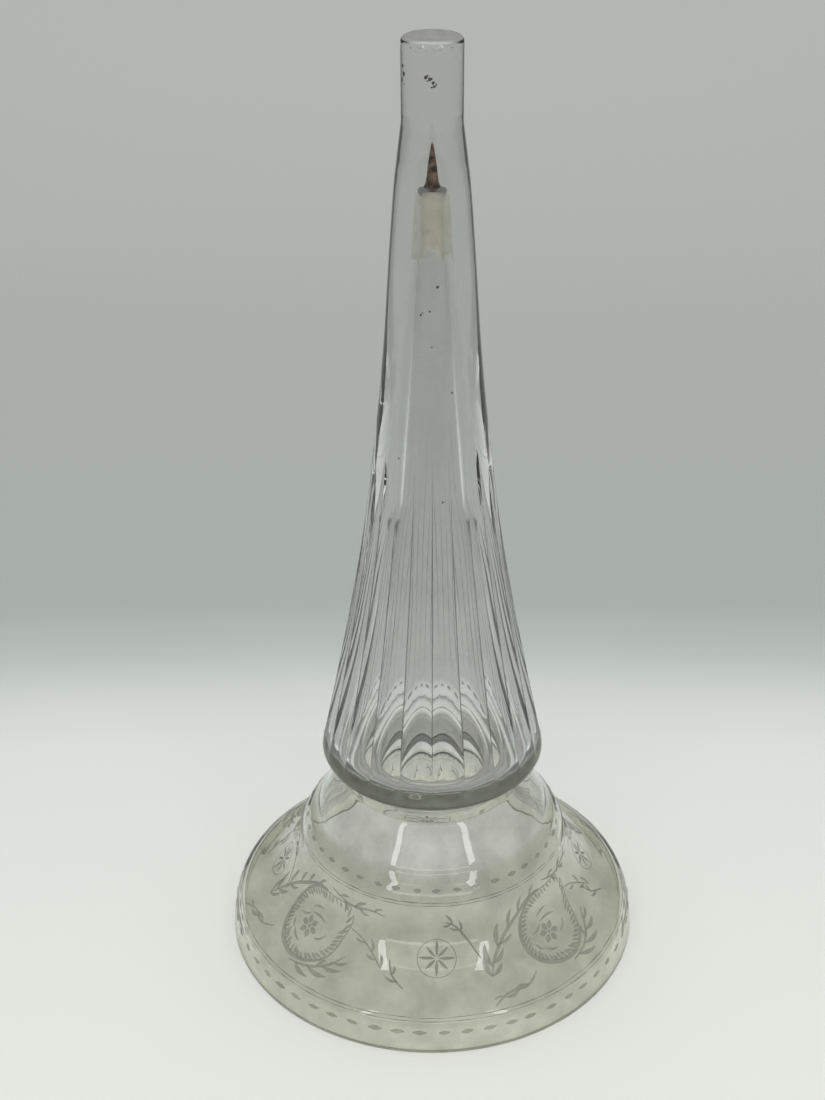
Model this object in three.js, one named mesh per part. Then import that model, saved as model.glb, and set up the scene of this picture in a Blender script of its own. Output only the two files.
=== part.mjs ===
// Cut and engraved glass flower trumpet for a table centrepiece, standing mouth down with its peg up.
// Millimetres, +Z up. The origin is the centre of the ground rim that the glass stands on.
//
// Two glass pieces lift apart: a domed, engraved bell, and a fluted trumpet whose neck sits over a short
// spigot on the bell. Two dried deposits lie in the blind end of the trumpet's bore.

import * as THREE from 'three';

// Driving dimensions.
const OVERALL_HEIGHT = 381.3;
const RIM_RADIUS = 87.5;
const RIM_WALL = 3.2;
const BELL_WALL = 3.8;

const PEG_RADIUS = 10.9;
const PEG_LENGTH = 29;
const PEG_END_ROUND = 2;

const SHOULDER_RADIUS = 45.9;
const SHOULDER_HEIGHT = 91.5;
const LIP_ROUND = 4.5;
const FLUTE_COUNT = 21;
const FLUTE_DEPTH = 1.1;
const FLUTE_TOP = 245;
const FLUTE_FADE = 110;
const FLUTE_FOOT = 92.5;
const FLUTE_RUN_OUT = 5;

const SEAT_HEIGHT = 80;
const SEAT_GAP = 0.3;
const NECK_RADIUS = 33.2;
const NECK_BORE_RADIUS = 28.5;
const SPIGOT_HEIGHT = 9.5;
const SPIGOT_BORE_RADIUS = 25;

const BORE_TIP_HEIGHT = 346.1;
const DEPOSIT_GAP = 0.3;
const FILM_THICKNESS = 0.6;

// Mesh fineness.
const BELL_SIDES = 60;
const SIDES_PER_FLUTE = 3;
const DEPOSIT_SIDES = 16;

// Outline points, as radius and height, read from the peg or the collar down towards the rim.
const TRUMPET_OUTLINE = [
  [PEG_RADIUS, OVERALL_HEIGHT - PEG_LENGTH],
  [12.8, 337.1],
  [13.8, 328.1],
  [15.6, 305],
  [18.3, 266.8],
  [22.2, 228.6],
  [27.1, 190.4],
  [33.8, 152.3],
  [39.0, 125.7],
  [44.5, 99],
  [SHOULDER_RADIUS, SHOULDER_HEIGHT],
];

const TRUMPET_UNDERSIDE = [
  [SHOULDER_RADIUS - LIP_ROUND, SHOULDER_HEIGHT - LIP_ROUND],
  [37.6, 86],
  [34.8, 84],
  [NECK_RADIUS, SEAT_HEIGHT + SEAT_GAP],
];

// The bore's wall from the inner edge of the neck up to where the deposits begin.
const TRUMPET_BORE = [
  [30.2, 90.6],
  [36.5, 91.4],
  [40.6, 95],
  [38.2, 105],
  [34.4, 118],
  [30.0, 133.2],
  [25.4, 151.3],
  [20.0, 176.4],
  [15.0, 195.5],
  [11.9, 209.5],
  [8.8, 247.7],
  [6.3, 286.9],
  [4.7, 306],
  [3.7, 327.1],
];

const BORE_TIP = [
  [1.6, 330.1],
  [0.8, 338.5],
];

const DOME_OUTLINE = [
  [34.6, 79.2],
  [38.6, 76.4],
  [42.4, 71.2],
  [46.5, 65.3],
  [48.5, 61.9],
  [49.8, 59.3],
  [51.3, 57],
  [53.6, 54.1],
  [56.2, 48.5],
  [58.2, 41.3],
  [61.1, 34.2],
  [65.5, 27.6],
  [71.2, 22.2],
  [77.6, 18.4],
  [82.9, 15.4],
  [85.5, 11.6],
  [86.7, 6.5],
  [RIM_RADIUS, 0],
];

function points(pairs) {
  return pairs.map(([radius, height]) => new THREE.Vector2(radius, height));
}

function smooth(pairs, steps) {
  return new THREE.SplineCurve(points(pairs)).getPoints(steps);
}

function arc(centreRadius, centreHeight, radius, fromDegrees, toDegrees, steps) {
  return Array.from({ length: steps + 1 }, (_, i) => {
    const angle = THREE.MathUtils.degToRad(fromDegrees + ((toDegrees - fromDegrees) * i) / steps);
    const r = centreRadius + radius * Math.cos(angle);
    return new THREE.Vector2(r, centreHeight + radius * Math.sin(angle));
  });
}

// The same outline moved inwards along its own normals, thinning from one wall to another.
function insideOf(outline, firstWall, lastWall) {
  return outline.map((point, i) => {
    const before = outline[Math.max(i - 1, 0)];
    const after = outline[Math.min(i + 1, outline.length - 1)];
    const along = after.clone().sub(before).normalize();
    const wall = THREE.MathUtils.lerp(firstWall, lastWall, i / (outline.length - 1));
    return new THREE.Vector2(point.x + along.y * wall, point.y - along.x * wall);
  });
}

// Turns a profile about the Z axis. The profile is closed on itself, or starts and ends on the axis.
// It runs down the outside and up the inside, and a lathe takes it the other way round.
function turned(profile, sides) {
  const geometry = new THREE.LatheGeometry([...profile].reverse(), sides);
  geometry.rotateX(Math.PI / 2);
  return geometry;
}

function closed(profile) {
  return [...profile, profile[0].clone()];
}

// How deep the flutes are at one height: none near the peg, full depth from half way down, and run out
// just above the round lip.
function fluteDepthAt(height) {
  const cut = THREE.MathUtils.smoothstep((FLUTE_TOP - height) / FLUTE_FADE, 0, 1);
  const foot = THREE.MathUtils.smoothstep((height - FLUTE_FOOT) / FLUTE_RUN_OUT, 0, 1);
  return FLUTE_DEPTH * cut * foot;
}

// Cuts concave flutes into the outer skin by moving each point between two ridges inwards. The ridges
// are counted from the front, -Y, where one of them lies.
function cutFlutes(geometry, skinRadiusAt) {
  const position = geometry.getAttribute('position');
  for (let i = 0; i < position.count; i += 1) {
    const x = position.getX(i);
    const y = position.getY(i);
    const z = position.getZ(i);
    const radius = Math.hypot(x, y);
    const onSkin = z > SHOULDER_HEIGHT - 0.1 && radius > skinRadiusAt(z) - 0.05;
    if (onSkin) {
      const turn = (Math.atan2(x, -y) / (2 * Math.PI)) * FLUTE_COUNT;
      const acrossFlute = 2 * (turn - Math.floor(turn)) - 1;
      const depth = fluteDepthAt(z) * (1 - acrossFlute * acrossFlute);
      const scale = (radius - depth) / radius;
      position.setXY(i, x * scale, y * scale);
    }
  }
}

function radiusAlong(outline) {
  return (height) => {
    const below = outline.findIndex((point) => point.y <= height);
    if (below <= 0) {
      return outline[0].x;
    }
    const upper = outline[below - 1];
    const lower = outline[below];
    const t = (upper.y - height) / (upper.y - lower.y);
    return THREE.MathUtils.lerp(upper.x, lower.x, t);
  };
}

function trumpetGeometry() {
  const peg = arc(PEG_RADIUS - PEG_END_ROUND, OVERALL_HEIGHT - PEG_END_ROUND, PEG_END_ROUND, 90, 0, 3);
  const body = smooth(TRUMPET_OUTLINE, 16);
  const lipCentre = [SHOULDER_RADIUS - LIP_ROUND, SHOULDER_HEIGHT];
  const lip = arc(lipCentre[0], lipCentre[1], LIP_ROUND, 0, -90, 3);
  const underside = smooth(TRUMPET_UNDERSIDE, 3);
  const neckBore = points([
    [NECK_BORE_RADIUS, SEAT_HEIGHT + SEAT_GAP],
    [NECK_BORE_RADIUS, SEAT_HEIGHT + SPIGOT_HEIGHT],
  ]);
  const bore = smooth(TRUMPET_BORE, 13);
  const profile = [
    new THREE.Vector2(0, OVERALL_HEIGHT),
    ...peg,
    ...body,
    ...lip.slice(1),
    ...underside.slice(1),
    ...neckBore,
    ...bore,
    ...points(BORE_TIP),
    new THREE.Vector2(0, BORE_TIP_HEIGHT),
  ];
  const geometry = turned(profile, FLUTE_COUNT * SIDES_PER_FLUTE);
  cutFlutes(geometry, radiusAlong(body));
  return geometry;
}

function bellGeometry() {
  const outline = smooth(DOME_OUTLINE, 18);
  const inside = insideOf(outline.slice(2), BELL_WALL, RIM_WALL);
  inside[inside.length - 1].set(RIM_RADIUS - RIM_WALL, 0);
  const collar = points([
    [SPIGOT_BORE_RADIUS, SEAT_HEIGHT + SPIGOT_HEIGHT - SEAT_GAP],
    [NECK_BORE_RADIUS - SEAT_GAP, SEAT_HEIGHT + SPIGOT_HEIGHT - SEAT_GAP],
    [NECK_BORE_RADIUS - SEAT_GAP, SEAT_HEIGHT],
    [NECK_RADIUS, SEAT_HEIGHT],
  ]);
  const underCollar = points([
    [30.5, 74.6],
    [26.6, 75.8],
    [SPIGOT_BORE_RADIUS, 78],
  ]);
  const profile = [...collar, ...outline, ...inside.reverse(), ...underCollar];
  return turned(closed(profile), BELL_SIDES);
}

function boreRadiusAt(height) {
  const wall = [...smooth(TRUMPET_BORE, 44), ...points(BORE_TIP)].reverse();
  return radiusAlong(wall)(height);
}

// A crust lining the bore between two heights.
function filmGeometry(bottom, top) {
  const heights = Array.from({ length: 6 }, (_, i) => THREE.MathUtils.lerp(top, bottom, i / 5));
  const outer = heights.map((z) => new THREE.Vector2(boreRadiusAt(z) - DEPOSIT_GAP, z));
  const inner = outer.map((point) => new THREE.Vector2(point.x - FILM_THICKNESS, point.y));
  return turned(closed([...outer, ...inner.reverse()]), DEPOSIT_SIDES);
}

// A plug that fills the narrow tip of the bore.
function plugGeometry(bottom, top) {
  const profile = points([
    [0, top],
    [0.45, top - 5],
    [1.2, bottom],
    [0, bottom],
  ]);
  return turned(profile, DEPOSIT_SIDES);
}

function piece(name, geometry, material) {
  const mesh = new THREE.Mesh(geometry, new THREE.MeshStandardMaterial(material));
  mesh.name = name;
  return mesh;
}

const CLEAR_GLASS = { color: 0xd9dedb, roughness: 0.02, metalness: 0 };
const TINTED_GLASS = { color: 0xc9ccbd, roughness: 0.08, metalness: 0 };
const DARK_DEPOSIT = { color: 0x2a1a0e, roughness: 0.85, metalness: 0 };
const PALE_DEPOSIT = { color: 0xa9a184, roughness: 0.8, metalness: 0 };

const funnel = new THREE.Group();
funnel.add(piece('engraved_bell', bellGeometry(), TINTED_GLASS));
funnel.add(piece('fluted_trumpet', trumpetGeometry(), CLEAR_GLASS));
funnel.add(piece('bore_tip_deposit', plugGeometry(330.5, 343.5), DARK_DEPOSIT));
funnel.add(piece('bore_wall_film', filmGeometry(305, 327), PALE_DEPOSIT));

export default funnel;
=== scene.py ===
"""Cut and engraved glass flower trumpet, standing mouth down on a pale floor.

Metres, +Z up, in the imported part's own frame. The fine glass meshes follow the same outlines as the part,
and the engraving, deposits and small flaws are pieces of their own that ride on the two bodies.
Angles round the object are turned from the front, -Y, towards +X.
"""

import math
import random

import bmesh
import bpy
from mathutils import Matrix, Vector


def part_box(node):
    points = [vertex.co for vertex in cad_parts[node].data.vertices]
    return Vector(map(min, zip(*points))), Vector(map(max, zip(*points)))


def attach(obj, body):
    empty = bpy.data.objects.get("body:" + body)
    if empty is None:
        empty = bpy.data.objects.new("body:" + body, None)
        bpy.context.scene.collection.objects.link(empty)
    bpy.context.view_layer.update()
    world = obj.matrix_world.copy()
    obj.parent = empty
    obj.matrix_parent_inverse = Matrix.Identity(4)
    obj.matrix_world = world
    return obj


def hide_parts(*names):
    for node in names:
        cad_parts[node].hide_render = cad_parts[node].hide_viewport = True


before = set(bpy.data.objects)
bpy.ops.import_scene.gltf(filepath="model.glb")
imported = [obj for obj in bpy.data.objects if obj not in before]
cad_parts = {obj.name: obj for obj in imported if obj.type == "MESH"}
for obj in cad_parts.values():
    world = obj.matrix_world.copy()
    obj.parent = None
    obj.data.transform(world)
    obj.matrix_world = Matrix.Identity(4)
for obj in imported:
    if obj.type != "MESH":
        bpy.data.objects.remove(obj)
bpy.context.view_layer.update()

MM = 0.001
RNG = random.Random(7)

# Driving dimensions, in millimetres, as in the part's source.
RIM_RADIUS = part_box("engraved_bell")[1].x / MM
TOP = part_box("fluted_trumpet")[1].z / MM
RIM_WALL = 3.2
BELL_WALL = 3.8
PEG_RADIUS = 10.9
PEG_LENGTH = 29.0
PEG_END_ROUND = 2.0
SHOULDER_RADIUS = 45.9
SHOULDER_HEIGHT = 91.5
LIP_ROUND = 4.5
FLUTE_COUNT = 21
FLUTE_DEPTH = 1.1
FLUTE_TOP = 245.0
FLUTE_FADE = 110.0
FLUTE_FOOT = 92.5
FLUTE_RUN_OUT = 5.0
SEAT = 80.0
SEAT_GAP = 0.3
NECK_RADIUS = 33.2
NECK_BORE = 28.5
SPIGOT_HEIGHT = 9.5
SPIGOT_BORE = 25.0

# Mesh fineness.
BELL_SIDES = 360
VEIL_SIDES = 180
SPLINE_STEPS = 8

# How far inside the glass the two faces of a thin veil lie, in millimetres. Below zero is away from the
# axis, which is into the glass round the bore.
JOINT_VEIL = (0.08, 0.2)
BORE_VEIL = (-0.05, -0.16)
LIP_VEIL = (0.05, 0.16)
PEG_END_VEIL = (0.06, 0.22)

TRUMPET_OUTLINE = [
    (PEG_RADIUS, TOP - PEG_LENGTH), (12.8, 337.1), (13.8, 328.1), (15.6, 305), (18.3, 266.8), (22.2, 228.6),
    (27.1, 190.4), (33.8, 152.3), (39.0, 125.7), (44.5, 99), (SHOULDER_RADIUS, SHOULDER_HEIGHT),
]
TRUMPET_UNDERSIDE = [(41.4, 87), (37.6, 86), (34.8, 84), (NECK_RADIUS, SEAT + SEAT_GAP)]
TRUMPET_BORE = [
    (30.2, 90.6), (36.5, 91.4), (40.6, 95), (38.2, 105), (34.4, 118), (30.0, 133.2), (25.4, 151.3),
    (20.0, 176.4), (15.0, 195.5), (11.9, 209.5), (8.8, 247.7), (6.3, 286.9), (4.7, 306), (3.7, 327.1),
    (1.6, 330.1), (0.8, 338.5), (0.0, 346.1),
]
DOME_OUTLINE = [
    (34.6, 79.2), (38.6, 76.4), (42.4, 71.2), (46.5, 65.3), (48.5, 61.9), (49.8, 59.3), (51.3, 57),
    (53.6, 54.1), (56.2, 48.5), (58.2, 41.3),
    (61.1, 34.2), (65.5, 27.6), (71.2, 22.2), (77.6, 18.4), (82.9, 15.4), (85.5, 11.6), (86.7, 6.5),
    (RIM_RADIUS, 0),
]


def smoothstep(value):
    t = max(0.0, min(1.0, value))
    return t * t * (3 - 2 * t)


def lerp(a, b, t):
    return a + (b - a) * t


# ---------------------------------------------------------------- profiles (radius, height) in mm


def spline(points, steps=SPLINE_STEPS):
    """A uniform Catmull-Rom curve through the points, the same curve as the part's outlines."""
    p = [Vector(q) for q in points]
    curve = []
    for i in range(len(p) - 1):
        before = p[max(i - 1, 0)]
        after = p[min(i + 2, len(p) - 1)]
        tangent_0 = (p[i + 1] - before) / 2
        tangent_1 = (after - p[i]) / 2
        for step in range(steps):
            t = step / steps
            cubic = 2 * p[i] - 2 * p[i + 1] + tangent_0 + tangent_1
            square = 3 * p[i + 1] - 3 * p[i] - 2 * tangent_0 - tangent_1
            curve.append(cubic * t**3 + square * t**2 + tangent_0 * t + p[i])
    curve.append(p[-1])
    return curve


def arc(centre, radius, start, end, steps):
    angles = [math.radians(lerp(start, end, i / steps)) for i in range(steps + 1)]
    return [Vector((centre[0] + radius * math.cos(a), centre[1] + radius * math.sin(a))) for a in angles]


def inside_of(outline, first_wall, last_wall):
    """The same outline moved inwards along its own normals."""
    inner = []
    for i, point in enumerate(outline):
        along = (outline[min(i + 1, len(outline) - 1)] - outline[max(i - 1, 0)]).normalized()
        wall = lerp(first_wall, last_wall, i / (len(outline) - 1))
        inner.append(Vector((point.x + along.y * wall, point.y - along.x * wall)))
    return inner


def veil_shell(path, depths):
    """A thin closed profile along a path, between two depths inside the glass."""
    near, far = depths
    return inside_of(path, near, near) + inside_of(path, far, far)[::-1]


def radius_at(curve, height):
    """Radius of a falling curve at one height."""
    for upper, lower in zip(curve, curve[1:]):
        if lower.y <= height <= upper.y and upper.y > lower.y:
            return lerp(upper.x, lower.x, (upper.y - height) / (upper.y - lower.y))
    return curve[0].x if height > curve[0].y else curve[-1].x


# ---------------------------------------------------------------- meshes


def on_axis(angle, radius, height):
    """Point at an angle from the front, in metres, from millimetres."""
    return Vector((radius * math.sin(angle), -radius * math.cos(angle), height)) * MM


def mesh_object(name, bm, material, smooth=True):
    bmesh.ops.recalc_face_normals(bm, faces=bm.faces)
    mesh = bpy.data.meshes.new(name)
    bm.to_mesh(mesh)
    bm.free()
    for polygon in mesh.polygons:
        polygon.use_smooth = smooth
    mesh.materials.append(material)
    piece = bpy.data.objects.new(name, mesh)
    bpy.context.scene.collection.objects.link(piece)
    return piece


def even(sides):
    return [2 * math.pi * i / sides for i in range(sides)]


def fluted_angles():
    """Angles that crowd towards the ridges between flutes, so that the ridges stay crisp."""
    shares = [0.0, 0.02, 0.06] + [lerp(0.12, 0.88, i / 12) for i in range(13)] + [0.94, 0.98]
    turns = [flute + share for flute in range(FLUTE_COUNT) for share in shares]
    return [2 * math.pi * turn / FLUTE_COUNT for turn in turns]


def ring_faces(bm, a, b):
    """Faces between two rings of vertices; a ring of one vertex is a pole."""
    sides = max(len(a), len(b))
    for i in range(sides):
        j = (i + 1) % sides
        if len(a) == 1:
            bm.faces.new((a[0], b[i], b[j]))
        elif len(b) == 1:
            bm.faces.new((a[i], b[0], a[j]))
        else:
            bm.faces.new((a[i], b[i], b[j], a[j]))


def turned(name, profile, angles, material, radius_of=None):
    """A closed body turned from a profile that ends on the axis or closes on itself.

    radius_of(index, angle, radius, height) may change a point's radius.
    """
    bm = bmesh.new()
    rings = []
    for index, (radius, height) in enumerate(profile):
        if radius < 1e-6:
            rings.append([bm.verts.new((0, 0, height * MM))])
            continue
        ring = []
        for angle in angles:
            r = radius_of(index, angle, radius, height) if radius_of else radius
            ring.append(bm.verts.new(on_axis(angle, r, height)))
        rings.append(ring)
    for a, b in zip(rings, rings[1:]):
        ring_faces(bm, a, b)
    if len(rings[0]) > 1 and len(rings[-1]) > 1:
        ring_faces(bm, rings[-1], rings[0])
    return mesh_object(name, bm, material)


# ---------------------------------------------------------------- materials


def new_material(name):
    material = bpy.data.materials.new(name)
    material.use_nodes = True
    return material, material.node_tree, material.node_tree.nodes["Principled BSDF"]


def noise(tree, scale, detail, roughness=0.5):
    """Procedural noise in object space, its scale in cells per metre."""
    coordinates = tree.nodes.new("ShaderNodeTexCoord")
    texture = tree.nodes.new("ShaderNodeTexNoise")
    texture.inputs["Scale"].default_value = scale
    texture.inputs["Detail"].default_value = detail
    texture.inputs["Roughness"].default_value = roughness
    tree.links.new(coordinates.outputs["Object"], texture.inputs["Vector"])
    return texture.outputs["Fac"]


def ramp(tree, source, stops):
    """A colour ramp with (position, (r, g, b)) stops."""
    node = tree.nodes.new("ShaderNodeValToRGB")
    elements = node.color_ramp.elements
    while len(elements) < len(stops):
        elements.new(1.0)
    for element, (position, colour) in zip(elements, stops):
        element.position = position
        element.color = (*colour, 1)
    tree.links.new(source, node.inputs["Fac"])
    return node.outputs["Color"]


def glass(name, stops, low, high, mottle, shade, bump_scale, bump_height):
    """Clear glass with a mottled tint that changes with height, over a faintly uneven surface.

    stops are colours from the height low to the height high, in millimetres. mottle is the tint's
    darkest and lightest share. Lamps shine through, dimmed by shade at each face.
    """
    material, tree, shader = new_material(name)
    shader.inputs["Transmission Weight"].default_value = 1.0
    shader.inputs["IOR"].default_value = 1.52
    shader.inputs["Roughness"].default_value = 0.0
    coordinates = tree.nodes.new("ShaderNodeTexCoord")
    split = tree.nodes.new("ShaderNodeSeparateXYZ")
    span = tree.nodes.new("ShaderNodeMapRange")
    span.inputs["From Min"].default_value = low * MM
    span.inputs["From Max"].default_value = high * MM
    tree.links.new(coordinates.outputs["Object"], split.inputs["Vector"])
    tree.links.new(split.outputs["Z"], span.inputs["Value"])
    darkest, lightest = mottle
    cloud = ramp(tree, noise(tree, 70.0, 8.0, 0.68), [(0.36, (darkest,) * 3), (0.62, (lightest,) * 3)])
    tint = tree.nodes.new("ShaderNodeMix")
    tint.data_type = "RGBA"
    tint.blend_type = "MULTIPLY"
    tint.inputs["Factor"].default_value = 1.0
    tree.links.new(ramp(tree, span.outputs["Result"], stops), tint.inputs[6])
    tree.links.new(cloud, tint.inputs[7])
    tree.links.new(tint.outputs[2], shader.inputs["Base Color"])
    bump = tree.nodes.new("ShaderNodeBump")
    bump.inputs["Distance"].default_value = bump_height * MM
    tree.links.new(noise(tree, bump_scale, 2.0), bump.inputs["Height"])
    tree.links.new(bump.outputs["Normal"], shader.inputs["Normal"])

    output = tree.nodes["Material Output"]
    through = tree.nodes.new("ShaderNodeBsdfTransparent")
    through.inputs["Color"].default_value = (*shade, 1)
    path = tree.nodes.new("ShaderNodeLightPath")
    mix = tree.nodes.new("ShaderNodeMixShader")
    tree.links.new(path.outputs["Is Shadow Ray"], mix.inputs["Fac"])
    tree.links.new(shader.outputs["BSDF"], mix.inputs[1])
    tree.links.new(through.outputs["BSDF"], mix.inputs[2])
    tree.links.new(mix.outputs["Shader"], output.inputs["Surface"])
    return material


def matte(name, stops, scale, alpha=1.0, roughness=0.8, bump_height=0.0):
    """An opaque or veiled dry surface with mottled colour."""
    material, tree, shader = new_material(name)
    grain = noise(tree, scale, 6.0, 0.6)
    tree.links.new(ramp(tree, grain, stops), shader.inputs["Base Color"])
    shader.inputs["Roughness"].default_value = roughness
    shader.inputs["Alpha"].default_value = alpha
    if bump_height:
        bump = tree.nodes.new("ShaderNodeBump")
        bump.inputs["Distance"].default_value = bump_height * MM
        tree.links.new(grain, bump.inputs["Height"])
        tree.links.new(bump.outputs["Normal"], shader.inputs["Normal"])
    return material


TRUMPET_GLASS = glass(
    "trumpet_glass",
    [
        (0.0, (0.965, 0.96, 0.955)), (0.3, (0.94, 0.935, 0.935)),
        (0.5, (0.865, 0.86, 0.86)), (0.7, (0.83, 0.825, 0.82)),
    ],
    80, 380, (0.96, 1.0), (0.95, 0.955, 0.95), 90.0, 0.02,
)
BORE_GLASS = glass(
    "bore_glass",
    [(0.0, (0.99, 0.985, 0.98)), (0.2, (0.96, 0.96, 0.95)), (0.45, (0.82, 0.82, 0.815))],
    80, 380, (0.93, 1.0), (0.95, 0.955, 0.95), 140.0, 0.03,
)
BELL_GLASS = glass(
    "bell_glass",
    [
        (0.0, (0.80, 0.80, 0.715)), (0.4, (0.79, 0.79, 0.71)),
        (0.70, (0.735, 0.74, 0.665)), (0.77, (0.96, 0.96, 0.95)),
    ],
    0, 80, (0.80, 1.06), (0.94, 0.945, 0.93), 70.0, 0.07,
)
# The engraved pattern is real; its dark olive colour is painted shade, standing in for the dark the cut
# grooves show by refraction.
ENGRAVED = matte("engraved_cut_painted_shade", [(0.3, (0.11, 0.115, 0.09)), (0.7, (0.25, 0.26, 0.22))], 300, 0.28)
ENGRAVED_LINE = matte("engraved_line_painted_shade", [(0.3, (0.11, 0.115, 0.09)), (0.7, (0.24, 0.25, 0.21))], 900, 0.4)
PLUG = matte("dark_deposit", [(0.38, (0.035, 0.024, 0.016)), (0.64, (0.24, 0.16, 0.115))], 520, 1.0, 0.8, 0.3)
FILM = matte("pale_deposit", [(0.35, (0.52, 0.51, 0.36)), (0.65, (0.84, 0.82, 0.62))], 260, 0.2, 0.85, 0.3)
CHIP = matte("chip", [(0.3, (0.70, 0.70, 0.68)), (0.7, (0.92, 0.92, 0.90))], 900, 0.7)
GROUND = matte("ground_glass", [(0.3, (0.80, 0.80, 0.78)), (0.7, (0.95, 0.95, 0.93))], 420, 0.3, 0.6, 0.1)
JOINT = matte("ground_joint", [(0.3, (0.80, 0.81, 0.77)), (0.7, (0.93, 0.94, 0.90))], 420, 0.24, 0.6, 0.1)
# Painted shade on the lip: a dark olive veil standing in for the dark the lip shows by refraction.
LIP_PAINTED_SHADE = matte("lip_painted_shade", [(0.3, (0.15, 0.16, 0.115)), (0.7, (0.25, 0.262, 0.20))], 160, 0.7, 0.75, 0.05)
HAZE = matte("bore_haze", [(0.3, (0.62, 0.63, 0.61)), (0.7, (0.84, 0.85, 0.83))], 220, 0.16, 0.8, 0.05)
# Painted shade: dark lines on the flute crests standing in for refraction through the fluting.
RIDGE_PAINTED_SHADE = matte("ridge_painted_shade", [(0.3, (0.11, 0.105, 0.10)), (0.7, (0.24, 0.23, 0.22))], 300, 0.5)
SPECK = matte("speck", [(0.3, (0.04, 0.035, 0.03)), (0.7, (0.12, 0.11, 0.09))], 900, 0.85)


# ---------------------------------------------------------------- trumpet


def flute_depth(height):
    """How deep the flutes are cut at one height."""
    foot = smoothstep((height - FLUTE_FOOT) / FLUTE_RUN_OUT)
    return FLUTE_DEPTH * smoothstep((FLUTE_TOP - height) / FLUTE_FADE) * foot


def trumpet_profile():
    """The trumpet's skin from the peg to the lip, and its whole profile, which begins with that skin."""
    peg = arc((PEG_RADIUS - PEG_END_ROUND, TOP - PEG_END_ROUND), PEG_END_ROUND, 90, 0, 8)
    body = spline(TRUMPET_OUTLINE)
    lip = arc((SHOULDER_RADIUS - LIP_ROUND, SHOULDER_HEIGHT), LIP_ROUND, 0, -90, 10)
    underside = spline(TRUMPET_UNDERSIDE, 5)
    skin = [Vector((0, TOP))] + peg + body + lip[1:]
    neck = [Vector((NECK_BORE, SEAT + SEAT_GAP)), Vector((NECK_BORE, SEAT + SPIGOT_HEIGHT))]
    return skin, skin + underside[1:] + neck + spline(TRUMPET_BORE, 6)


# Outlines from the top down, which give the radius for the pieces that lie on them.
BORE_CURVE = spline(TRUMPET_BORE, 12)[::-1]
BODY_CURVE = spline(TRUMPET_OUTLINE)
SKIN_CURVE = [Vector((PEG_RADIUS, TOP))] + BODY_CURVE

# Hand cutting: each flute is a little deeper or shallower, and starts a little higher or lower.
DEEPER = [RNG.uniform(0.82, 1.12) for _ in range(FLUTE_COUNT)]
STARTS = [RNG.uniform(-9, 9) for _ in range(FLUTE_COUNT)]


def across_flute(angle):
    """The flute at an angle, and the place across it: 0 in its middle and 1 or -1 on its ridges."""
    turn = angle / (2 * math.pi) * FLUTE_COUNT
    return int(turn + 1e-9) % FLUTE_COUNT, 2 * (turn - math.floor(turn + 1e-9)) - 1


def fluted(angle, radius, height):
    flute, across = across_flute(angle)
    start = STARTS[flute] if height > FLUTE_TOP - FLUTE_FADE else 0
    return radius - flute_depth(height + start) * DEEPER[flute] * (1 - across * across)


def make_trumpet():
    skin, profile = trumpet_profile()

    def radius_of(index, angle, radius, height):
        return fluted(angle, radius, height) if index < len(skin) else radius

    trumpet = turned("trumpet_glass", profile, fluted_angles(), TRUMPET_GLASS, radius_of)
    trumpet.data.materials.append(BORE_GLASS)
    for polygon in trumpet.data.polygons:
        centre = polygon.center / MM
        middle = (radius_at(BORE_CURVE, centre.z) + radius_at(BODY_CURVE, centre.z)) / 2
        if SEAT + SPIGOT_HEIGHT < centre.z < BORE_CURVE[0].y and centre.xy.length < middle:
            polygon.material_index = 1
    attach(trumpet, "trumpet")
    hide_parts("fluted_trumpet")


# Small flaws: degrees from the front, then a drop below the peg's end for chips or a height for specks,
# then a size.
CHIPS = [
    (-62, 1.8, 1.4), (-44, 2.0, 2.0), (-33, 3.4, 1.0), (-22, 1.8, 2.2), (-9, 2.8, 1.2), (2, 1.7, 1.8),
    (13, 2.0, 2.4), (24, 3.4, 1.2), (38, 1.9, 1.9), (54, 2.1, 1.6), (100, 1.9, 1.8), (150, 2.2, 1.6),
    (215, 1.9, 2.0), (280, 2.4, 1.5),
]
BODY_CHIP = (31.6, 304.5, 15.55, 0.8)
SPECKS = [
    (-12, 369.8, 1.3), (-8, 370.3, 0.9), (-5, 369.2, 1.2), (-1, 369.4, 1.0), (2, 368.0, 1.2), (4, 366.8, 1.1),
    (-1, 366.4, 0.8), (7, 367.4, 0.7), (-9, 368.6, 0.7), (-67, 372.0, 1.6), (-62, 369.6, 2.2),
    (-70, 367.4, 1.5), (-60, 366.2, 1.0), (-14, 287.2, 1.0), (-12, 288.1, 0.8), (-3, 288.6, 0.8),
    (6.5, 297.6, 1.1), (-0.6, 275.2, 0.7), (21.6, 257.7, 0.9), (-34.5, 231.4, 0.8), (9.4, 215.5, 0.9),
    (120, 260, 0.8), (205, 300, 0.7),
]


def fleck(bm, angle, height, radius, size, squash=0.4):
    """A small irregular flake that lies against a turned surface."""
    centre = on_axis(angle, radius, height)
    up = Vector((0, 0, 1))
    out = on_axis(angle, 1, 0).normalized()
    side = out.cross(up)
    rim = []
    count = 7
    for k in range(count):
        a = 2 * math.pi * k / count
        reach = size / 2 * RNG.uniform(0.55, 1.25) * MM
        rim.append(bm.verts.new(centre + side * reach * math.cos(a) + up * reach * math.sin(a)))
    top = bm.verts.new(centre + out * size * squash / 2 * MM)
    under = bm.verts.new(centre - out * size * squash / 2 * MM)
    for k in range(count):
        bm.faces.new((rim[k], rim[(k + 1) % count], top))
        bm.faces.new((rim[(k + 1) % count], rim[k], under))


def add_piece(name, bm, material, body, smooth=False):
    """A small piece that rides on a body."""
    piece = mesh_object(name, bm, material, smooth)
    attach(piece, body)
    return piece


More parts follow.
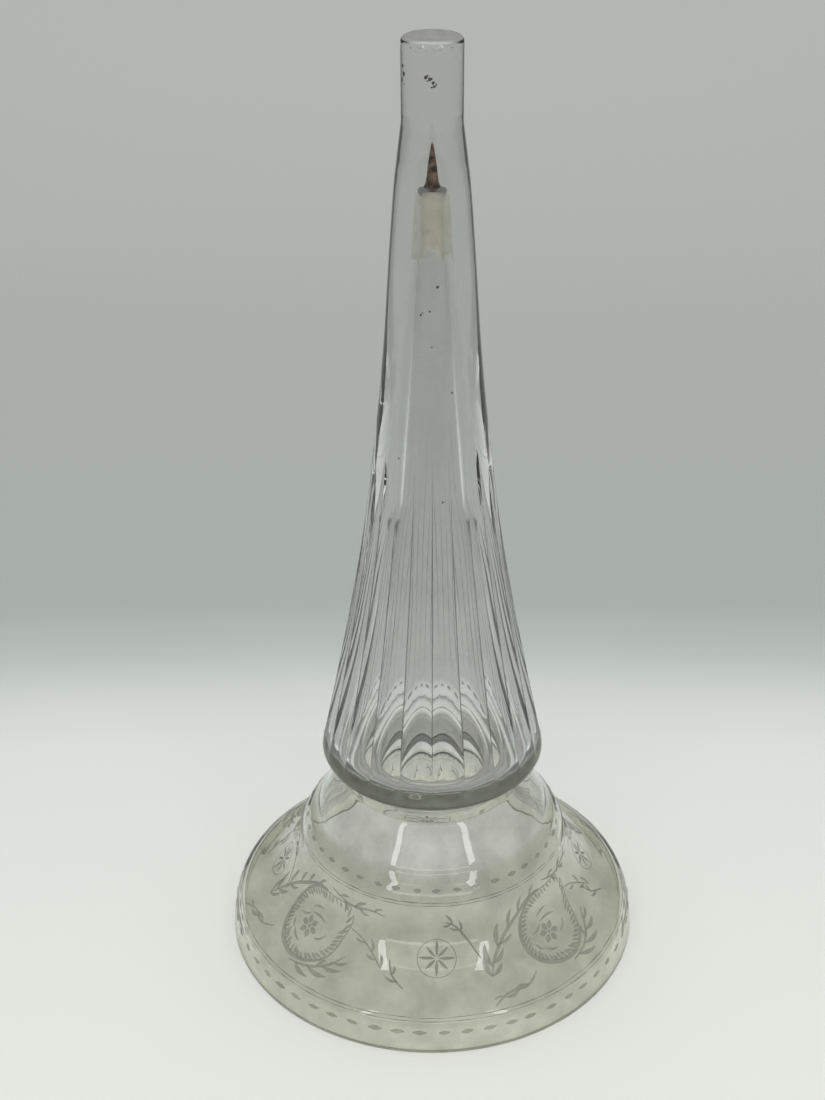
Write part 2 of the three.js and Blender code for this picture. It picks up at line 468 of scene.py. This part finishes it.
def make_ridges():
    """Thin dark lines of painted shade down the crests between the flutes, standing in for the dark the
    fluting shows by refraction.
    """
    bm = bmesh.new()
    steps = 40
    for k in range(FLUTE_COUNT):
        angle = 2 * math.pi * k / FLUTE_COUNT
        top = FLUTE_TOP - 22 + RNG.uniform(-16, 12)
        rows = []
        for i in range(steps + 1):
            share = i / steps
            height = lerp(top, FLUTE_FOOT + 4, share)
            faded = smoothstep(share * 2.6) * smoothstep((height - 100) / 26)
            width = 0.5 * faded * (1 + 0.3 * math.sin(7 * share + k)) + 0.05
            radius = radius_at(BODY_CURVE, height)
            spread = width / 2 / radius
            rows.append([
                bm.verts.new(on_axis(angle - spread, radius + 0.03, height)),
                bm.verts.new(on_axis(angle, radius + 0.07, height)),
                bm.verts.new(on_axis(angle + spread, radius + 0.03, height)),
                bm.verts.new(on_axis(angle, radius + 0.01, height)),
            ])
        for a, b in zip(rows, rows[1:]):
            ring_faces(bm, a, b)
        bm.faces.new(rows[0])
        bm.faces.new(rows[-1][::-1])
    add_piece("ridge_painted_shade_lines", bm, RIDGE_PAINTED_SHADE, "trumpet")


def lip_point(distance, angle, inset):
    """A point just inside the lip's glass, a distance down its skin from the band's scalloped top."""
    wall = 3.4 + 1.5 * across_flute(angle)[1] ** 4
    if distance < wall + FLUTE_FOOT - SHOULDER_HEIGHT:
        height = FLUTE_FOOT + wall - distance
        return on_axis(angle, fluted(angle, radius_at(BODY_CURVE, height), height) - inset, height)
    turn = (distance - wall - FLUTE_FOOT + SHOULDER_HEIGHT) / LIP_ROUND
    reach = LIP_ROUND - inset
    radius = SHOULDER_RADIUS - LIP_ROUND + reach * math.cos(turn)
    return on_axis(angle, radius, SHOULDER_HEIGHT - reach * math.sin(turn))


def make_lip_painted_shade():
    """Painted shade along the lip: a dark olive band just inside the glass, standing in for the dark the lip
    shows by refraction, broad at the front and sides and thin at the back.
    """
    bm = bmesh.new()
    rings = []
    for angle in even(FLUTE_COUNT * 16):
        behind = smoothstep((abs(math.degrees(angle) - 180) - 75) / -35)
        start = 10.2 * behind
        steps = [lerp(start, 11.4, i / 14) for i in range(15)]
        outer = [lip_point(distance, angle, LIP_VEIL[0]) for distance in steps]
        inner = [lip_point(distance, angle, LIP_VEIL[1]) for distance in reversed(steps)]
        rings.append([bm.verts.new(point) for point in outer + inner])
    for a, b in zip(rings, rings[1:] + rings[:1]):
        ring_faces(bm, a, b)
    add_piece("lip_painted_shade", bm, LIP_PAINTED_SHADE, "trumpet", smooth=True)


def make_trumpet_details():
    """Ground faces, the lip's band of painted shade, chips and specks on the trumpet. Veils lie just inside
    the glass.
    """
    make_lip_painted_shade()

    floor = [p for p in BORE_CURVE if 90.5 < p.y < 98 and p.x > 31]
    haze = turned("bore_haze", veil_shell(floor, BORE_VEIL), even(VEIL_SIDES), HAZE)
    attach(haze, "trumpet")

    foot = SEAT + SEAT_GAP
    ground = [
        Vector((33, foot)), Vector((NECK_BORE + 0.2, foot)),
        Vector((NECK_BORE, foot + 0.2)), Vector((NECK_BORE, 89.4)),
    ]
    socket = turned("ground_socket", veil_shell(ground, JOINT_VEIL), even(VEIL_SIDES), JOINT)
    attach(socket, "trumpet")

    edge = arc((PEG_RADIUS - PEG_END_ROUND, TOP - PEG_END_ROUND), PEG_END_ROUND, 90, 35, 6)
    near, far = PEG_END_VEIL
    shell = [Vector((0, TOP - near))] + veil_shell(edge, PEG_END_VEIL) + [Vector((0, TOP - far))]
    end = turned("ground_peg_end", shell, even(96), GROUND)
    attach(end, "trumpet")

    chips = bmesh.new()
    for turn, drop, size in CHIPS:
        fleck(chips, math.radians(turn), TOP - drop, PEG_RADIUS - 0.35, size, 0.2)
    turn, height, radius, size = BODY_CHIP
    fleck(chips, math.radians(turn), height, radius, size)
    add_piece("peg_chips", chips, CHIP, "trumpet")

    specks = bmesh.new()
    for turn, height, size in SPECKS:
        fleck(specks, math.radians(turn), height, radius_at(SKIN_CURVE, height) - 0.03, size)
    add_piece("specks", specks, SPECK, "trumpet")


# ---------------------------------------------------------------- bell


def make_bell():
    """The bell with its collar and spigot, and the ground faces of the joint just inside its glass."""
    outline = spline(DOME_OUTLINE)
    inside = inside_of(outline[6:], BELL_WALL, RIM_WALL)
    inside[-1] = Vector((RIM_RADIUS - RIM_WALL, 0))
    spigot_top = SEAT + SPIGOT_HEIGHT - SEAT_GAP
    outer = NECK_BORE - SEAT_GAP
    collar = [
        Vector((SPIGOT_BORE, spigot_top)), Vector((outer, spigot_top)),
        Vector((outer, SEAT)), Vector((NECK_RADIUS, SEAT)),
    ]
    under_collar = [Vector(p) for p in [(30.5, 74.6), (26.6, 75.8), (SPIGOT_BORE, 78)]]
    profile = collar + outline + list(reversed(inside)) + under_collar
    bell = turned("bell_glass", profile, even(BELL_SIDES), BELL_GLASS)
    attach(bell, "bell")
    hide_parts("engraved_bell")

    ground = [
        Vector((SPIGOT_BORE + 0.4, spigot_top)), Vector((outer - 0.4, spigot_top)),
        Vector((outer, spigot_top - 0.4)), Vector((outer, SEAT + 0.2)),
    ]
    hazed = under_collar + [Vector((SPIGOT_BORE, 80.5))]
    for name, path in (("ground_joint", ground), ("collar_haze", hazed)):
        veil = turned(name, veil_shell(path, JOINT_VEIL), even(VEIL_SIDES), JOINT)
        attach(veil, "bell")


# ---------------------------------------------------------------- engraving


class Skin:
    """The bell's outer face, addressed by an angle and a distance down its outline from the crease."""

    def __init__(self, points, crease):
        self.curve = spline(points, 40)
        self.length = [0.0]
        for a, b in zip(self.curve, self.curve[1:]):
            self.length.append(self.length[-1] + (b - a).length)
        start = self.down_at(crease)
        self.length = [s - start for s in self.length]

    def down_at(self, height):
        """Distance down the outline at one height."""
        for (a, b), s in zip(zip(self.curve, self.curve[1:]), self.length):
            if b.y <= height <= a.y:
                return s + (b - a).length * (a.y - height) / max(a.y - b.y, 1e-9)
        return self.length[-1]

    def place(self, angle, down, lift):
        """Point in metres on the face, raised by lift millimetres."""
        i = 0
        while i < len(self.length) - 2 and self.length[i + 1] < down:
            i += 1
        a, b = self.curve[i], self.curve[i + 1]
        t = (down - self.length[i]) / (self.length[i + 1] - self.length[i])
        along = (b - a).normalized()
        radius = lerp(a.x, b.x, t) - along.y * lift
        return on_axis(angle, radius, lerp(a.y, b.y, t) + along.x * lift)

    def radius(self, down):
        """Radius of the face at a distance down it."""
        return -self.place(0, down, 0).y / MM


# The crease's height, how far a cut's lower side stands off the glass, and how thick the cut is.
CREASE = 59.6
STROKE_LIFT = 0.02
STROKE_HEIGHT = 0.12
skin = Skin(DOME_OUTLINE, CREASE)


def stroke(bm, angle, down, path, widths):
    """Adds one cut: a thin lens-section ribbon along path, given as (right, down) mm from a centre."""
    radius = skin.radius(down)
    rows = []
    for i, (right, below) in enumerate(path):
        before = path[max(i - 1, 0)]
        after = path[min(i + 1, len(path) - 1)]
        direction = Vector((after[0] - before[0], after[1] - before[1])).normalized()
        side = Vector((-direction.y, direction.x)) * widths[i] / 2

        def spot(offset, lift):
            u = right + side.x * offset
            v = below + side.y * offset
            return bm.verts.new(skin.place(angle + u / radius, down + v, lift))

        middle = STROKE_LIFT + STROKE_HEIGHT / 2
        row = [spot(-1, middle), spot(0, STROKE_LIFT + STROKE_HEIGHT), spot(1, middle), spot(0, STROKE_LIFT)]
        rows.append(row)
    for a, b in zip(rows, rows[1:]):
        for i in range(4):
            j = (i + 1) % 4
            bm.faces.new((a[i], a[j], b[j], b[i]))
    bm.faces.new(rows[0])
    bm.faces.new(list(reversed(rows[-1])))


def leaf_widths(count, width, ends=0.12):
    """Widths that swell in the middle and come to narrow ends."""
    return [width * max(ends, math.sin(math.pi * i / (count - 1)) ** 0.8) for i in range(count)]


def bent(start, end, sag):
    """Seven points from start to end that bow to one side by sag, in mm."""
    a, b = Vector(start), Vector(end)
    side = Vector((-(b - a).y, (b - a).x)).normalized()
    return [a.lerp(b, i / 6) + side * sag * math.sin(math.pi * i / 6) for i in range(7)]


def leaf(bm, angle, down, start, end, width, sag=0.0):
    """One slender cut with pointed ends."""
    path = bent(start, end, sag)
    stroke(bm, angle, down, path, leaf_widths(len(path), width))


def ring_line(bm, down, width, wobble):
    """A line all the way round the bell, in overlapping hand-wheeled stretches."""
    stretches = 40
    for k in range(stretches):
        centre = 2 * math.pi * k / stretches
        reach = skin.radius(down) * math.pi / stretches * 1.06
        drift = RNG.uniform(-wobble, wobble)
        path = [(lerp(-reach, reach, i / 10), drift) for i in range(11)]
        size = width * RNG.uniform(0.7, 1.25)
        widths = [size * max(0.3, math.sin(math.pi * (i + 0.6) / 11.2)) for i in range(11)]
        stroke(bm, centre, down, path, widths)


def dots(bm, down, count, length, width, phase):
    """A ring of short oval cuts that follow the rim."""
    for k in range(count):
        angle = 2 * math.pi * (k + phase + RNG.uniform(-0.06, 0.06)) / count
        half = length / 2 * RNG.uniform(0.85, 1.1)
        tilt = RNG.uniform(-0.25, 0.25)
        path = [(lerp(-half, half, i / 6), lerp(-tilt, tilt, i / 6)) for i in range(7)]
        stroke(bm, angle, down, path, leaf_widths(7, width * RNG.uniform(0.85, 1.1), 0.3))


def wheel(bm, angle, down):
    """Eight spokes in a thin circle."""
    hub = 0.7
    for k in range(8):
        a = math.pi / 4 * k + 0.03
        reach = 7.4 if k % 2 == 0 else 6.4
        start = (hub * math.cos(a), hub * math.sin(a))
        leaf(bm, angle, down, start, (reach * math.cos(a), reach * math.sin(a)), 1.25)
    circle = [(7.9 * math.cos(t), 7.7 * math.sin(t)) for t in [2 * math.pi * i / 48 for i in range(49)]]
    stroke(bm, angle, down, circle, [0.32] * 49)


WREATH_RADIUS = 15.6
WREATH_TIP = math.radians(-36)


def wreath_radius(turn):
    """Radius of the drop-shaped wreath, drawn out to a tip at upper right."""
    away = math.atan2(math.sin(turn - WREATH_TIP), math.cos(turn - WREATH_TIP))
    return WREATH_RADIUS * (1 + 0.06 * math.cos(away) + 0.42 * math.exp(-((away / 0.38) ** 2)))


def wreath(bm, angle, down):
    """A drop-shaped ring of small leaves round a six-petalled flower."""
    centre = Vector((1.0, -1.8))

    def at(turn, inset):
        r = wreath_radius(turn) - inset
        return centre + Vector((r * math.cos(turn), r * math.sin(turn)))

    turns = [WREATH_TIP + 0.05 + (2 * math.pi - 0.1) * i / 90 for i in range(91)]
    heavy = [0.7 + 1.3 * smoothstep((1 - math.cos(t - WREATH_TIP)) / 2) for t in turns]
    stroke(bm, angle, down, [at(t, 0) for t in turns], heavy)
    leaves = 46
    for k in range(leaves):
        t = WREATH_TIP + 2 * math.pi * (k + 0.5) / leaves
        lean = 0.13 + RNG.uniform(-0.02, 0.03)
        length = 3.6 * RNG.uniform(0.75, 1.15)
        leaf(bm, angle, down, at(t, 0.3), at(t + lean, length), 1.35 * RNG.uniform(0.8, 1.15))


# Loose cuts round the flower: two ends and a bow, in mm right and down of its centre.
FLOWER_CUTS = [
    ((-8, -2.6), (-2.5, -5), 0.7), ((-2.5, -5.6), (7.5, -5.2), -0.9), ((5, 3), (10, -1), 0.8),
    ((-6, 4), (0, 7.5), 0.8), ((-9, 1), (-6, 5), 0.5), ((-3, -8), (4, -10), -0.6),
]


def flower(bm, angle, down):
    """A flower of six petals with a small heart, and the loose cuts round it."""
    inner, outer = 1.1, 4.8
    for k in range(6):
        a = math.pi / 3 * k + 0.2
        start = (inner * math.cos(a), inner * math.sin(a))
        leaf(bm, angle, down, start, (outer * math.cos(a), outer * math.sin(a)), 2.6)
    leaf(bm, angle, down, (-0.9, 0), (0.9, 0), 1.6)
    for start, end, sag in FLOWER_CUTS:
        leaf(bm, angle, down, start, end, 1.1, sag)


LEAF_SPREAD = 28


def branch(bm, angle, down, points, width, leaves):
    """A curved stem through points with slender leaves, each a share along it, a side, and a length in mm."""
    path = spline(points, 7)
    swell = [max(0.25, math.sin(math.pi * (i + 1) / (len(path) + 1)) ** 0.5) for i in range(len(path))]
    stroke(bm, angle, down, path, [width * w for w in swell])
    for share, side, length in leaves:
        i = min(int(share * (len(path) - 1)), len(path) - 2)
        ahead = (path[i + 1] - path[i]).normalized()
        across = Vector((-ahead.y, ahead.x)) * side
        lean = math.radians(LEAF_SPREAD + RNG.uniform(-5, 5))
        end = path[i] + (ahead * math.cos(lean) + across * math.sin(lean)) * length
        leaf(bm, angle, down, path[i], end, 0.26 * length ** 0.95, 0.1 * length * side)


def scrolls(bm, angle, down):
    """The stems and leaves that tie a wreath to the wheels on either side.

    Their points are in mm right and down of the wreath's centre.
    """
    branch(bm, angle, down, [(-31, 7), (-28, 0), (-21, -8), (-12, -14), (-4, -18), (3, -18.5)], 1.6, [
        (0.02, -1, 9), (0.02, 1, 7), (0.14, -1, 10), (0.16, 1, 8), (0.3, -1, 10), (0.32, 1, 7), (0.46, -1, 8),
        (0.62, -1, 7), (0.8, -1, 6),
    ])
    branch(bm, angle, down, [(38, 3.5), (34, -1), (30, -4.5), (26, -7), (20, -9)], 0.8, [
        (0.05, 1, 6), (0.2, -1, 5), (0.35, 1, 6), (0.6, -1, 5),
    ])
    branch(bm, angle, down, [(6, -21), (13, -19), (20, -18), (29, -19), (36, -18)], 1.1, [
        (0.2, -1, 6), (0.3, 1, 6), (0.5, -1, 7), (0.6, 1, 6), (0.8, -1, 5),
    ])
    branch(bm, angle, down, [(2, 15.5), (10, 13.5), (17, 9), (22, 3)], 1.2, [
        (0.15, 1, 8), (0.35, 1, 9), (0.5, -1, 5), (0.6, 1, 8), (0.8, 1, 6),
    ])
    branch(bm, angle, down, [(-14, 11), (-20, 15), (-27, 15), (-33, 19)], 1.0, [
        (0.3, 1, 6), (0.5, -1, 6), (0.8, 1, 4),
    ])


# The motifs' places: degrees round from the front, and mm down from the crease. One wreath stands closer
# to its wheel than the others do.
MOTIF_COUNT = 4
MOTIF_STEP = 90
FIRST_WHEEL = 1.6
FIRST_WREATH = 46.6
WHEEL_DOWN = 34.4
WREATH_DOWN = 37.5
SHIFTED_WREATH = 3
WREATH_SHIFT = 7


def make_engraving():
    """Bands, wheels and flower wreaths, each motif repeated four times round the bell."""
    bands = bmesh.new()
    dots(bands, skin.down_at(9.5), 58, 5.2, 2.2, 0.47)
    dots(bands, skin.down_at(54.5), 41, 3.8, 1.9, 0.2)
    add_piece("engraved_dots", bands, ENGRAVED, "bell")
    bands = bmesh.new()
    for height, gap in ((14.3, 1.5), (49.4, 1.2)):
        ring_line(bands, skin.down_at(height) - gap / 2, 0.42, 0.12)
        ring_line(bands, skin.down_at(height) + gap / 2, 0.36, 0.12)
    add_piece("engraved_bands", bands, ENGRAVED_LINE, "bell")

    for k in range(MOTIF_COUNT):
        shift = WREATH_SHIFT if k == SHIFTED_WREATH else 0
        wheel_at = math.radians(FIRST_WHEEL + MOTIF_STEP * k)
        wreath_at = math.radians(FIRST_WREATH + MOTIF_STEP * k - shift)
        motif = bmesh.new()
        wheel(motif, wheel_at, WHEEL_DOWN)
        branch(motif, wheel_at, WHEEL_DOWN, [(18, 2), (13, -7), (8, -13), (4, -14.5)], 0.9, [
            (0.5, 1, 5), (0.55, -1, 4.5), (0.75, 1, 5.5), (0.8, -1, 4),
        ])
        branch(motif, wheel_at, WHEEL_DOWN, [(-12, 13), (-17, 8), (-19, 2)], 0.8, [(0.3, -1, 5), (0.5, 1, 4)])
        add_piece("engraved_wheel_%d" % (k + 1), motif, ENGRAVED_LINE, "bell")
        motif = bmesh.new()
        wreath(motif, wreath_at, WREATH_DOWN)
        flower(motif, wreath_at, WREATH_DOWN)
        scrolls(motif, wreath_at, WREATH_DOWN)
        add_piece("engraved_wreath_%d" % (k + 1), motif, ENGRAVED, "bell")


# ---------------------------------------------------------------- deposits


# How far the deposits reach into the glass, and how far the crust stands off it into the bore.
CONTACT = 0.12
CRUST = 0.45


def ragged_edge(angle):
    """How far the crust's edge wanders up or down at one angle, before it is scaled."""
    return math.sin(2 * angle + 0.8) + 0.7 * math.sin(5 * angle + 2.1) + 0.45 * math.sin(11 * angle)


def make_deposits():
    """The dark dried plug in the blind tip of the bore, and the beige crust below it.

    Both reach just into the glass, so that no gap of air shows between them and the bore's wall.
    """
    tip = BORE_CURVE[0].y
    top, bottom = tip - 1.2, 329.6
    plug_outline = [Vector((0, bottom - 1.5)), Vector((0.9, bottom - 1.2))]
    for i in range(9):
        z = lerp(bottom, top, i / 8)
        plug_outline.append(Vector((radius_at(BORE_CURVE, z) + CONTACT, z)))
    plug_outline.append(Vector((0, top + 0.4)))
    plug = turned("dried_plug", plug_outline, even(40), PLUG)
    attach(plug, "trumpet")
    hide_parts("bore_tip_deposit")

    top, bottom, steps = 327.6, 305.0, 20
    heights = [lerp(top, bottom, i / steps) for i in range(steps + 1)]
    outer = [Vector((radius_at(BORE_CURVE, z) + CONTACT, z)) for z in heights]
    inner = [Vector((radius_at(BORE_CURVE, z) - CRUST, z)) for z in reversed(heights)]
    film = turned("dried_film", outer + inner, even(64), FILM)
    for vertex in film.data.vertices:
        angle = math.atan2(vertex.co.x, -vertex.co.y)
        height = vertex.co.z / MM
        share = (height - bottom) / (top - bottom)
        shift = ragged_edge(angle) * (1.6 * (1 - share) + 0.7 * share)
        radius = math.hypot(vertex.co.x, vertex.co.y)
        onto = radius_at(BORE_CURVE, height + shift) - radius_at(BORE_CURVE, height)
        vertex.co.x *= 1 + onto * MM / radius
        vertex.co.y *= 1 + onto * MM / radius
        vertex.co.z += shift * MM
    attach(film, "trumpet")
    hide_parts("bore_wall_film")


# ---------------------------------------------------------------- scene


def make_floor():
    """A wide flat floor, white under and in front of the object. Just behind it the colour steps down sharply
    to grey-green and then grows slowly lighter far back. The darkening and the slow rise are painted shade,
    standing in for light falling off behind the object and for a backdrop lit more strongly higher up.
    """
    bm = bmesh.new()
    reach = 6.0
    corners = [(-reach, -reach), (reach, -reach), (reach, reach), (-reach, reach)]
    bm.faces.new([bm.verts.new((x, y, 0)) for x, y in corners])
    material, tree, shader = new_material("floor_painted_shade")
    shader.inputs["Roughness"].default_value = 0.85
    coordinates = tree.nodes.new("ShaderNodeTexCoord")
    stretch = tree.nodes.new("ShaderNodeMapping")
    stretch.inputs["Location"].default_value = (0, 0.15, 0)
    stretch.inputs["Scale"].default_value = (0.4, 1, 1)
    distance = tree.nodes.new("ShaderNodeVectorMath")
    distance.operation = "LENGTH"
    tree.links.new(coordinates.outputs["Object"], stretch.inputs["Vector"])
    tree.links.new(stretch.outputs["Vector"], distance.inputs[0])
    near = tree.nodes.new("ShaderNodeMapRange")
    near.inputs["From Max"].default_value = 2.1
    tree.links.new(distance.outputs["Value"], near.inputs["Value"])
    # Painted shade: white near the object, dark grey-green just behind it, slowly lighter again far back.
    stops = [
        (0.0, (0.88, 0.89, 0.84)), (0.10, (0.84, 0.85, 0.815)), (0.135, (0.80, 0.82, 0.79)),
        (0.150, (0.74, 0.77, 0.74)), (0.173, (0.55, 0.59, 0.56)), (0.197, (0.455, 0.49, 0.46)),
        (0.33, (0.48, 0.505, 0.48)),
        (0.55, (0.55, 0.565, 0.54)), (1.0, (0.64, 0.65, 0.62)),
    ]
    tree.links.new(ramp(tree, near.outputs["Result"], stops), shader.inputs["Base Color"])
    floor = mesh_object("floor", bm, material, smooth=False)


def area_light(name, place, target, size, power):
    light = bpy.data.lights.new(name, "AREA")
    light.shape = "RECTANGLE"
    light.size, light.size_y = size
    light.energy = power
    lamp = bpy.data.objects.new(name, light)
    lamp.location = place
    lamp.rotation_euler = (Vector(target) - Vector(place)).to_track_quat("-Z", "Y").to_euler()
    bpy.context.scene.collection.objects.link(lamp)
    return lamp


# The window panes: degrees to the right of the front and above the floor, width and height in metres,
# and radiance. They stand at one distance from a point low in the glass.
WINDOW_DISTANCE = 1.5
WINDOW_TARGET = Vector((0, 0, 0.05))
PANES = [
    ("window_left", -35, 30, 0.12, 0.90, 6), ("window_right", 36, 31, 0.16, 0.86, 6),
    ("window_pale", 0, 31, 1.55, 0.80, 0.6), ("window_foot", 0, 14.5, 1.8, 0.08, 3),
    ("window_head", 0, 44, 1.5, 0.05, 2),
]


def make_lights():
    """A big soft light overhead that the glass doesn't mirror, and window panes in front that it does."""
    overhead = area_light("overhead", (0, 0.8, 3.0), (0, 0.8, 0), (5.0, 5.0), 100)
    overhead.visible_glossy = False
    overhead.visible_transmission = False
    for name, turn, rise, width, height, radiance in PANES:
        a, e = math.radians(turn), math.radians(rise)
        towards = Vector((math.sin(a) * math.cos(e), -math.cos(a) * math.cos(e), math.sin(e)))
        place = towards * WINDOW_DISTANCE + WINDOW_TARGET
        power = radiance * math.pi * width * height
        pane = area_light(name, place, WINDOW_TARGET, (width, height), power)
        pane.visible_transmission = False
    world = bpy.data.worlds.new("studio")
    bpy.context.scene.world = world
    world.use_nodes = True
    background = world.node_tree.nodes["Background"]
    background.inputs["Color"].default_value = (0.80, 0.83, 0.80, 1)
    background.inputs["Strength"].default_value = 0.22


LOOK_DOWN = 29.41


def make_camera():
    data = bpy.data.cameras.new("camera")
    data.sensor_width = 36
    data.lens = 56.65
    data.shift_x = -0.018
    camera = bpy.data.objects.new("camera", data)
    camera.location = (0, -0.5931, 0.5165)
    camera.rotation_euler = (math.radians(90 - LOOK_DOWN), 0, 0)
    bpy.context.scene.collection.objects.link(camera)
    bpy.context.scene.camera = camera


make_camera()
make_trumpet()
make_ridges()
make_trumpet_details()
make_bell()
make_engraving()
make_deposits()
make_floor()
make_lights()
bpy.context.scene.view_settings.view_transform = "Standard"
